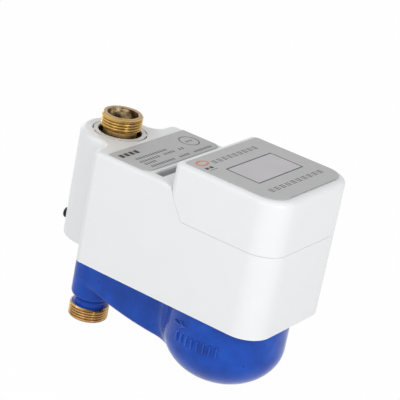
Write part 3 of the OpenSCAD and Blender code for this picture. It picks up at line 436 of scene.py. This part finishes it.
def crossing_centres(d, active):
    """The mean place in each active cell, in cells, where the surface crosses the cell's edges."""
    total, count = np.zeros((active.sum(), 3)), np.zeros(active.sum())
    for a in CELL_CORNERS:
        for axis in range(3):
            if a[axis]:
                continue
            b = tuple(c + (n == axis) for n, c in enumerate(a))
            da, db = at_corner(d, a)[active], at_corner(d, b)[active]
            cut = (da < 0) != (db < 0)
            share = np.where(cut, da / np.where(cut, da - db, 1), 0)
            spot = np.array(a, float) + share[:, None] * (np.array(b) - np.array(a))
            total[cut] += spot[cut]
            count[cut] += 1
    return total / count[:, None]


def cells_around(base, u, v, index):
    """The numbers of the four cells about grid edges that run across the u and v axes."""
    ring = []
    for du, dv in ((-1, -1), (0, -1), (0, 0), (-1, 0)):
        cell = base.copy()
        cell[:, u] += 1 + du
        cell[:, v] += 1 + dv
        ring.append(index[tuple(cell.T)])
    return ring


def net_quads(d, index):
    """A quad about each grid edge that the surface crosses."""
    quads = []
    for axis in range(3):
        u, v = (axis + 1) % 3, (axis + 2) % 3
        here, there = [slice(1, -1)] * 3, [slice(1, -1)] * 3
        here[axis], there[axis] = slice(0, -1), slice(1, None)
        a, b = d[tuple(here)] < 0, d[tuple(there)] < 0
        quads.append(np.stack(cells_around(np.argwhere(a & ~b), u, v, index), 1))
        quads.append(np.stack(cells_around(np.argwhere(~a & b), u, v, index)[::-1], 1))
    quads = np.concatenate(quads)
    return quads[(quads >= 0).all(1)]


def surface_net(distance, low, high, step):
    """Quads over the zero surface of a distance function, one point in each cell that it crosses."""
    axes = [np.arange(a, b + step, step) for a, b in zip(low, high)]
    grid = np.stack(np.meshgrid(*axes, indexing="ij"), -1)
    d = distance(grid.reshape(-1, 3)).reshape(grid.shape[:3])
    inside = sum((at_corner(d, c) < 0).astype(np.int8) for c in CELL_CORNERS)
    active = (inside > 0) & (inside < len(CELL_CORNERS))
    index = -np.ones(active.shape, np.int64)
    index[active] = np.arange(active.sum())
    points = np.array(low) + step * (np.argwhere(active) + crossing_centres(d, active))
    return points, net_quads(d, index)


def settle(points, distance, rounds=4, eps=0.02, least=0.2, reach=0.6):
    """Moves points along the gradient onto the zero surface, by at most reach a round; least is the
    smallest squared slope that a step divides by."""
    p = points.copy()
    for _ in range(rounds):
        d = distance(p)
        g = np.stack([(distance(p + eps * e) - distance(p - eps * e)) / (2 * eps) for e in np.eye(3)], 1)
        p -= np.clip(d / np.maximum((g * g).sum(1), least), -reach, reach)[:, None] * g
    return p


# The casting


FILLET_BOWL = 11.0
FILLET_BOSS = 1.2
FILLET_NECK = 2.0
NECK_FLARE = 0.7
FLARE_H = 1.0
NECK_SINK = 0.5
STACK_SINK = 4.0

# the grid that the casting is drawn over
NET_LOW = (-15.5, -40.7, BOWL_BOTTOM - 1.3)
NET_HIGH = (146.5, 40.7, 73.7)
NET_STEP = 1.2


def bowl_distance(rho, z, radius, depth):
    """An upright cylinder that ends below in half an ellipsoid."""
    below = np.minimum(z - BOWL_WAIST, 0)
    k0 = np.hypot(rho / radius, below / depth)
    k1 = np.hypot(rho / radius**2, below / depth**2)
    return k0 * (k0 - 1) / np.maximum(k1, 1e-6)


def boss_outside(rho, z):
    """The pipe boss with its rounded shoulder, and the neck below it, which flares out at the thread."""
    shoulder = BOSS_R - NECK_R
    boss = rounded_corner(rho - BOSS_R, BOSS_Z - shoulder - z, shoulder)
    flare = NECK_FLARE * np.clip((THREAD_L + FLARE_H - z) / FLARE_H, 0, 1) ** 2
    neck = np.maximum(rho - NECK_R - flare, THREAD_L - NECK_SINK - z)
    return smooth_min(boss, neck, FILLET_NECK)


def arm_outside(x, y, z):
    """The flat-sided arm with its curved underside."""
    under = np.hypot(x - ARM_LOW_X, z - ARM_LOW_Z - ARM_CURVE_R) - ARM_CURVE_R
    arm = rounded_corner(under, np.abs(y) - BOSS_R, ARM_EDGE_R)
    return np.maximum(arm, np.maximum(-x, x - BOWL_X))


def casting_outside(p):
    x, y, z = p.T
    rho, bowl_rho = np.hypot(x, y), np.hypot(x - BOWL_X, y)
    bowl = bowl_distance(bowl_rho, z, BOWL_R, BOWL_WAIST - BOWL_BOTTOM)
    low = smooth_min(arm_outside(x, y, z), boss_outside(rho, z), FILLET_BOSS)
    low = np.maximum(smooth_min(low, bowl, FILLET_BOWL), z - ARM_TOP)
    stack = np.minimum(np.maximum(rho - BOSS_R, z - BOSS_TOP), np.maximum(bowl_rho - RIM_R, z - RIM_TOP))
    stack = np.minimum(stack, np.maximum(bowl_rho - BOWL_R, z - RIM_Z))
    return np.minimum(low, np.maximum(stack, ARM_TOP - STACK_SINK - z))


def casting_hollow(p):
    """The bowl's cavity, the two ways along the arm, the inlet's bore and the riser."""
    x, y, z = p.T
    rho, bowl_rho = np.hypot(x, y), np.hypot(x - BOWL_X, y)
    floor = SEAT_Z - SEAT_T
    cavity = bowl_distance(bowl_rho, z, BOWL_R - CAST_WALL, BOWL_WAIST - BOWL_BOTTOM - CAST_WALL)
    cavity = np.maximum(cavity, z - floor)
    seat = np.maximum(bowl_rho - SEAT_R, np.abs(z - floor) - SEAT_T)
    upper = np.maximum(bowl_rho - UPPER_R, SEAT_Z - z)
    ways = np.maximum(np.abs(y) - WAY_HW, np.maximum(-x, x - WAY_END))
    low_way = np.maximum(ways, np.abs(z - LOW_WAY_TOP + LOW_WAY_H / 2) - LOW_WAY_H / 2)
    high_way = np.maximum(ways, np.abs(z - HIGH_WAY_Z - HIGH_WAY_H / 2) - HIGH_WAY_H / 2)
    bore = np.maximum(rho - BORE_R, z - LOW_WAY_TOP)
    riser = np.maximum(rho - RISER_R, HIGH_WAY_Z - z)
    spigot = np.maximum(rho - SPIGOT_R, BOSS_TOP - SPIGOT_L - z)
    return np.minimum.reduce([cavity, seat, upper, low_way, high_way, bore, riser, spigot])


def casting_distance(p):
    return np.maximum(casting_outside(p), -casting_hollow(p))


def casting():
    """The painted casting from the neck up, with its fillets."""
    points, quads = surface_net(casting_distance, NET_LOW, NET_HIGH, NET_STEP)
    points = settle(points, casting_distance)
    piece("casting", points, [tuple(q) for q in quads], [blue_paint], ["meter_body"])


casting()


# The threaded ends


ROW_STEP = 2.0
THREAD_STEP = 0.1
THREAD_FADE = 0.5
GROOVE_POWER = 2.4
RIM_BEVEL = 0.3

# rows beyond this radius carry the thread
THREAD_FOOT = THREAD_R - THREAD_BEVEL - 0.01

OUT_Z = PIPE_L - THREAD_L
OUT_CUT = 125.0

# plain bands at the ends of the inlet's thread, and below and above the outlet's
IN_BAND = 0.6
OUT_LOW_BAND = 0.3
OUT_TOP_BAND = 1.7

# angles in degrees above which an edge is drawn sharp
THREAD_SHARP = 40
SHELL_SHARP = 30

END_MATS = [turned_brass, worn_brass, rim_brass, neck_brass, bore_scale]

INLET = [
    (BORE_R, THREAD_L, neck_brass), (BORE_R, MOUTH_DEPTH, neck_brass), (MOUTH_R, MOUTH_DEPTH, neck_brass),
    (MOUTH_R, RIM_BEVEL, rim_brass), (MOUTH_R + RIM_BEVEL, 0, rim_brass),
    (THREAD_R - THREAD_BEVEL, 0, worn_brass), (THREAD_R, THREAD_BEVEL, worn_brass),
    (THREAD_R, THREAD_L - THREAD_BEVEL, worn_brass), (THREAD_R - THREAD_BEVEL, THREAD_L, rim_brass),
]
OUTLET = [
    (BORE_R, PIPE_L - MOUTH_DEPTH, bore_scale), (BORE_R, OUT_CUT, neck_brass),
    (OUT_NECK_R, OUT_CUT, neck_brass), (OUT_NECK_R, OUT_Z, neck_brass),
    (THREAD_R - THREAD_BEVEL, OUT_Z, turned_brass),
    (THREAD_R, OUT_Z + THREAD_BEVEL, turned_brass), (THREAD_R, PIPE_L - THREAD_BEVEL, turned_brass),
    (THREAD_R - THREAD_BEVEL, PIPE_L, rim_brass), (MOUTH_R + RIM_BEVEL, PIPE_L, rim_brass),
    (MOUTH_R, PIPE_L - RIM_BEVEL, bore_scale), (MOUTH_R, PIPE_L - MOUTH_DEPTH, bore_scale),
]


def outline_rows(outline):
    """(radius, height, material) rows along a closed outline, close together where the thread is."""
    rows = []
    for (r0, z0, mat), (r1, z1, _) in zip(outline, outline[1:] + outline[:1]):
        step = THREAD_STEP if min(r0, r1) > THREAD_FOOT else ROW_STEP
        count = max(1, math.ceil(math.hypot(r1 - r0, z1 - z0) / step))
        rows += [(r0 + (r1 - r0) * i / count, z0 + (z1 - z0) * i / count, mat) for i in range(count)]
    return rows


def threaded_radius(r, z, turn, low, high):
    """The radius of a row at a share of a turn, with the helical groove between two heights."""
    if r <= THREAD_FOOT:
        return r
    groove = THREAD_DEPTH * (0.5 - 0.5 * math.cos(2 * math.pi * (z / PITCH - turn))) ** GROOVE_POWER
    fade = min(1.0, max(0.0, (z - low) / THREAD_FADE), max(0.0, (high - z) / THREAD_FADE))
    return min(r, THREAD_R - groove * fade)


def ring_faces(rows, columns):
    """Quads between closed rings of points, with the last ring joined to the first."""
    faces = []
    for i in range(rows):
        for c in range(columns):
            d, j = (c + 1) % columns, (i + 1) % rows
            faces.append((i * columns + c, i * columns + d, j * columns + d, j * columns + c))
    return faces


def threaded_end(name, outline, low, high, replaces, columns=192):
    """A turned end with a helical thread between two heights; outline is a closed list of (radius,
    height, material) from the inner low corner outwards."""
    rows = outline_rows(outline)
    points = []
    for r, z, _ in rows:
        for c in range(columns):
            radius, angle = threaded_radius(r, z, c / columns, low, high), 2 * math.pi * c / columns
            points.append((radius * math.cos(angle), radius * math.sin(angle), z))
    obj = piece(name, points, ring_faces(len(rows), columns), END_MATS, replaces)
    finish = [END_MATS.index(mat) for _, _, mat in rows for _ in range(columns)]
    obj.data.polygons.foreach_set("material_index", finish)
    obj.data.set_sharp_from_angle(angle=math.radians(THREAD_SHARP))


def valve_shell():
    """The rest of the valve's body, cut off below the collar where the turned end takes over."""
    shell = bmesh.new()
    shell.from_mesh(NODES["valve_body"].data)
    bmesh.ops.remove_doubles(shell, verts=shell.verts[:], dist=1e-6)
    bmesh.ops.bisect_plane(
        shell, geom=shell.verts[:] + shell.edges[:] + shell.faces[:], plane_co=(0, 0, OUT_CUT * MM),
        plane_no=(0, 0, 1), clear_outer=True, dist=1e-7)
    bmesh.ops.bridge_loops(shell, edges=[e for e in shell.edges if e.is_boundary])
    for face in shell.faces:
        face.smooth = True
    mesh = bpy.data.meshes.new("valve_shell")
    shell.to_mesh(mesh)
    shell.free()
    mesh.set_sharp_from_angle(angle=math.radians(SHELL_SHARP))
    mesh.materials.append(brass)
    ride("valve_shell", mesh, ["valve_body"])


threaded_end("inlet_thread", INLET, IN_BAND, THREAD_L - IN_BAND, ["meter_body"])
threaded_end("outlet_thread", OUTLET, OUT_Z + OUT_LOW_BAND, PIPE_L - OUT_TOP_BAND, ["valve_body"])
valve_shell()


# The paint's lap on the inlet thread, and the cast marks


LAP_IN = NECK_R - 0.3
LAP_R = 12.2
LAP_T = 0.45
LAP_WAVE = 0.16

# share of the way out from the neck, and share of the lap's thickness
LAP_PROFILE = [(0.0, 1.0), (0.25, 0.5), (0.6, 0.22), (0.9, 0.16), (1.0, 0.0)]

MARK_H = 1.4
MARK_HALF = 0.35
MARK_SOFT = 0.6
MARK_SINK = 0.06
MARK_STEP = 0.1

# the marks' skin: the bowl's angle at u = 0, the reach along u and the heights
MARK_ANGLE = -104.0
MARK_LEFT = -8.5
MARK_RIGHT = 31.0
MARK_LOW = 33.6
MARK_HIGH = 50.0

# u, v, width and height of each mark
ARROW = (-7.0, 44.2, 9.5, 4.0)
RIBS = (-2.6, 35.2, 29.0, 5.8)
RIB_COUNT = 8
BARB_SHARE = 0.6


def paint_lap(columns=144):
    """The enamel that runs from the neck onto the shoulder of the inlet thread, with a wavy edge."""
    points, faces = [], []
    for c in range(columns):
        a = 2 * math.pi * c / columns
        edge = LAP_R + LAP_WAVE * (math.sin(3 * a + 1) + 0.6 * math.sin(7 * a) + 0.3 * math.sin(17 * a + 2))
        for share, rise in LAP_PROFILE:
            r = LAP_IN + (edge - LAP_IN) * share
            points.append((r * math.cos(a), r * math.sin(a), THREAD_L + LAP_T * rise))
    n = len(LAP_PROFILE)
    for c in range(columns):
        d = (c + 1) % columns
        for k in range(n - 1):
            faces.append((c * n + k, c * n + k + 1, d * n + k + 1, d * n + k))
    piece("paint_lap", points, faces, [blue_paint])


def line(*points):
    return list(zip(points, points[1:]))


def flow_arrow(u, v, w, h):
    middle = v + h / 2
    barb = u + w * BARB_SHARE
    return line((u, middle), (u + w, middle)) + line((barb, v + h), (u + w, middle), (barb, v))


def rib_row(u, v, w, h, count):
    """Upright strokes, evenly spaced over a width."""
    places = [u + w * i / (count - 1) for i in range(count)]
    return [((place, v), (place, v + h)) for place in places]


def stroke_gap(u, v, strokes):
    """The distance from each point to the nearest stroke."""
    gap = np.full(u.shape, np.inf)
    for (u0, v0), (u1, v1) in strokes:
        du, dv = u1 - u0, v1 - v0
        t = np.clip(((u - u0) * du + (v - v0) * dv) / (du * du + dv * dv), 0, 1)
        gap = np.minimum(gap, np.hypot(u - u0 - t * du, v - v0 - t * dv))
    return gap


def cast_marks():
    """A flow arrow and a row of plain ribs raised on the bowl; the skin lies just inside the casting
    where nothing is raised. u runs round the bowl and v is the height."""
    strokes = flow_arrow(*ARROW) + rib_row(*RIBS, RIB_COUNT)
    along = np.arange(MARK_LEFT, MARK_RIGHT, MARK_STEP)
    heights = np.arange(MARK_LOW, MARK_HIGH, MARK_STEP)
    u, v = np.meshgrid(along, heights, indexing="ij")
    raised = np.clip((MARK_HALF + MARK_SOFT - stroke_gap(u, v, strokes)) / MARK_SOFT, 0, 1)
    r = BOWL_R - MARK_SINK + MARK_H * raised * raised * (3 - 2 * raised)
    a = math.radians(MARK_ANGLE) + u / BOWL_R
    points = np.stack([BOWL_X + r * np.cos(a), r * np.sin(a), v], -1).reshape(-1, 3)
    across, up = u.shape
    faces = [(i * up + j, (i + 1) * up + j, (i + 1) * up + j + 1, i * up + j + 1)
             for i in range(across - 1) for j in range(up - 1)]
    piece("cast_marks", points, faces, [pooled_paint])


paint_lap()
cast_marks()


# Print on the plates


INK_T = 0.01
NAME_TOP = DECK_Z + PLATE_T
FACE_TOP = HEAD_Z + PLATE_T
# the width of the painted shade line along the faceplate's far edge
EDGE_SHADE_W = 0.3
WINDOW_EDGE = 0.85
STROKE_SHARE = 0.42

# rows of small print on the nameplate: x, low y and high y
SMALL_ROWS = [
    (36.3, -30.5, 1.8), (40.6, -31.8, -11.1), (40.6, -7.0, 4.4), (40.6, 8.8, 14.6), (44.2, -31.5, -19.7),
    (48.5, -30.5, -5.6), (48.5, -0.6, 10.0), (48.5, 15.0, 34.2),
]
SMALL_H = 2.2
SMALL_PITCH = 2.5
SMALL_FILL = 0.58

# larger rows of bars: x, low y, high y, height along x and pitch along y
RING_ROW = (35.4, 23.6, 31.0, 1.4, 2.4)
HEADING = (28.4, -36.5, -17.0, 4.2, 4.6)
TITLE_ROWS = [(86.9, -23.5, 25.6, 4.4, 5.4), (132.2, -28.6, 31.6, 4.4, 6.0)]
TITLE_STROKES = 3
FACE_MARK = (90.4, -36.4, -28.0, 2.4, 4.2)

# a thin line under the small mark: low x, high x, low y and high y
UNDER_LINE = (93.0, 93.5, -35.7, -27.9)

# rings: centre, radii and width
NAME_RING = ((35.4, 27.2), (7.0, 7.0), 0.7)
FACE_RING = ((83.6, -30.6), (3.6, 5.4), 1.5)


def printed(name, boxes, z, mat):
    """Flat bars of ink; boxes are (low x, high x, low y, high y)."""
    top = z + INK_T
    points, faces = [], []
    for x0, x1, y0, y1 in boxes:
        n = len(points)
        points += [(x0, y0, top), (x1, y0, top), (x1, y1, top), (x0, y1, top)]
        faces.append((n, n + 1, n + 2, n + 3))
    piece(name, points, faces, [mat], smooth=False)


def printed_ring(name, centre, radii, width, z, mat, columns=64):
    """A flat ring of ink, round or oval."""
    points, faces = [], []
    for c in range(columns):
        a, d = 2 * math.pi * c / columns, (c + 1) % columns
        for inset in (0, width):
            x = centre[0] + (radii[0] - inset) * math.cos(a)
            y = centre[1] + (radii[1] - inset) * math.sin(a)
            points.append((x, y, z + INK_T))
        faces.append((2 * c + 1, 2 * c, 2 * d, 2 * d + 1))
    piece(name, points, faces, [mat], smooth=False)


def bar_row(x, y0, y1, h, pitch, strokes=1, fill=0.7):
    """A row of print as plain bars across x, each a pitch wide and made of a few strokes."""
    boxes = []
    count = max(1, round((y1 - y0) / pitch))
    width = h / strokes * (STROKE_SHARE if strokes > 1 else 1)
    for i in range(count):
        y = y0 + (y1 - y0) * i / count
        for k in range(strokes):
            low = x - h / 2 + h * k / strokes
            boxes.append((low, low + width, y, y + (y1 - y0) / count * fill))
    return boxes


def nameplate_print():
    """Rows of bars, a heading and a ring."""
    rows = []
    for x, y0, y1 in SMALL_ROWS:
        rows += bar_row(x, y0, y1, SMALL_H, SMALL_PITCH, fill=SMALL_FILL)
    printed("nameplate_rows", rows + bar_row(*RING_ROW), NAME_TOP, ink)
    printed("nameplate_heading", bar_row(*HEADING), NAME_TOP, bold_ink)
    printed_ring("nameplate_ring", *NAME_RING, NAME_TOP, line_ink)


def faceplate_print():
    """A row of bars on each side of the window, a small mark with a ring, and a dark line at the end,
    painted as the shade along the plate's far edge.
    """
    rows = [box for title in TITLE_ROWS for box in bar_row(*title, TITLE_STROKES)]
    # painted shade: a thin dark strip along the faceplate's far edge
    edge_shade_line = (FACE_X1 - EDGE_SHADE_W, FACE_X1, FACE_CORNER_R - FACE_HW, FACE_HW - FACE_CORNER_R)
    printed("faceplate_rows_and_shade", rows + [UNDER_LINE, edge_shade_line], FACE_TOP, title_ink_and_shade)
    printed("faceplate_mark", bar_row(*FACE_MARK), FACE_TOP, bold_ink)
    printed_ring("faceplate_ring", *FACE_RING, FACE_TOP, orange_ink)


def window_outline():
    outer = WINDOW_HW + WINDOW_EDGE
    bars = [
        (WINDOW_X0 - WINDOW_EDGE, WINDOW_X0, -outer, outer),
        (WINDOW_X1, WINDOW_X1 + WINDOW_EDGE, -outer, outer),
        (WINDOW_X0, WINDOW_X1, -outer, -WINDOW_HW),
        (WINDOW_X0, WINDOW_X1, WINDOW_HW, outer),
    ]
    printed("window_outline", bars, FACE_TOP, line_ink)


nameplate_print()
faceplate_print()
window_outline()


# Stage, light and camera


FLOOR_HALF = 6.0
FLOOR_Z = -0.0006
FLOOR_GLOW = 0.98
WORLD_LIGHT = 0.55
AIM = (0.07, 0, 0.09)

# soft lamps: name, place and size in metres, and power in watts
LAMPS = [
    ("key", (0.10, -1.45, 0.70), (0.7, 0.6), 4.1),
    ("side", (1.35, -0.50, 0.55), (0.5, 0.7), 8.0),
    ("upper", (-0.42, -0.90, 0.98), (1.3, 0.18), 2.3),
    ("fill", (-1.2, -0.6, 0.6), (0.8, 0.8), 1.0),
    ("back", (-1.25, 0.95, 0.35), (0.8, 0.8), 3.0),
]

# the camera fitted to the photograph: degrees, metres, and millimetres for the lens and sensor
CAMERA_AZ = 31.162
CAMERA_EL = 22.3256
CAMERA_ROLL = -11.208
CAMERA_DISTANCE = 1.14129
CAMERA_TARGET = (0.06852, 0, 0.11099)
CAMERA_LENS = 164.38
CAMERA_SENSOR = 36
CAMERA_NEAR = 0.01
CAMERA_FAR = 50


def seen_directly(owner):
    """1 where the stage is seen by the camera, in a reflection or through glass, and 0 where it lights."""
    path = add(owner, "ShaderNodeLightPath").outputs
    outside = greater(owner, path["Is Camera Ray"], path["Is Glossy Ray"])
    return greater(owner, outside, path["Is Transmission Ray"])


def mixed(owner, factor, a, b):
    """A shader that goes from a to b by factor."""
    return add(owner, "ShaderNodeMixShader", [("Fac", factor), (1, a), (2, b)]).outputs[0]


def floor_material():
    """A pale floor that looks like the plain background, and is clear from below."""
    mat = bpy.data.materials.new("floor")
    mat.use_nodes = True
    mat.node_tree.nodes.clear()
    pale = add(mat, "ShaderNodeBsdfDiffuse", Color=(0.86, 0.86, 0.86, 1)).outputs[0]
    glow = add(mat, "ShaderNodeEmission", Color=(1, 1, 1, 1), Strength=1.0).outputs[0]
    share = add(mat, "ShaderNodeMath", [(0, seen_directly(mat))], operation="MULTIPLY")
    share.inputs[1].default_value = FLOOR_GLOW
    top = mixed(mat, share.outputs[0], pale, glow)
    below = add(mat, "ShaderNodeNewGeometry").outputs["Backfacing"]
    clear = add(mat, "ShaderNodeBsdfTransparent").outputs[0]
    add(mat, "ShaderNodeOutputMaterial", [("Surface", mixed(mat, below, top, clear))])
    return mat


def stage_floor():
    corners = [(-FLOOR_HALF, -FLOOR_HALF, 0), (FLOOR_HALF, -FLOOR_HALF, 0),
               (FLOOR_HALF, FLOOR_HALF, 0), (-FLOOR_HALF, FLOOR_HALF, 0)]
    floor = bpy.data.meshes.new("floor")
    floor.from_pydata(corners, [], [(0, 1, 2, 3)])
    floor.materials.append(floor_material())
    obj = bpy.data.objects.new("floor", floor)
    obj.location.z = FLOOR_Z
    bpy.context.scene.collection.objects.link(obj)


def studio_world():
    """Even soft light, seen as plain white by the camera and in reflections."""
    world = bpy.data.worlds.new("studio")
    bpy.context.scene.world = world
    world.use_nodes = True
    world.node_tree.nodes.clear()
    lit = add(world, "ShaderNodeBackground", Color=(1, 1, 1, 1), Strength=WORLD_LIGHT).outputs[0]
    white = add(world, "ShaderNodeBackground", Color=(1, 1, 1, 1)).outputs[0]
    add(world, "ShaderNodeOutputWorld", [("Surface", mixed(world, seen_directly(world), lit, white))])


def softbox(name, place, size, power):
    light = bpy.data.lights.new(name, "AREA")
    light.shape = "RECTANGLE"
    light.size, light.size_y = size
    light.energy = power
    obj = bpy.data.objects.new(name, light)
    obj.location = place
    obj.rotation_euler = (Vector(AIM) - Vector(place)).to_track_quat("-Z", "Y").to_euler()
    bpy.context.scene.collection.objects.link(obj)


def photo_camera():
    """The camera at its direction, roll and distance about a point on the object."""
    az, el, roll = (math.radians(a) for a in (CAMERA_AZ, CAMERA_EL, CAMERA_ROLL))
    back = Vector((math.sin(az) * math.cos(el), -math.cos(az) * math.cos(el), math.sin(el)))
    right = Vector((math.cos(az), math.sin(az), 0))
    up = back.cross(right)
    c, s = math.cos(roll), math.sin(roll)
    right, up = c * right - s * up, s * right + c * up
    cam = bpy.data.cameras.new("camera")
    cam.lens, cam.sensor_width = CAMERA_LENS, CAMERA_SENSOR
    cam.clip_start, cam.clip_end = CAMERA_NEAR, CAMERA_FAR
    obj = bpy.data.objects.new("camera", cam)
    turn = Matrix((right, up, back)).transposed().to_4x4()
    obj.matrix_world = Matrix.Translation(Vector(CAMERA_TARGET) + CAMERA_DISTANCE * back) @ turn
    bpy.context.scene.collection.objects.link(obj)
    bpy.context.scene.camera = obj


stage_floor()
studio_world()
for lamp in LAMPS:
    softbox(*lamp)
photo_camera()
bpy.context.scene.view_settings.view_transform = "Standard"
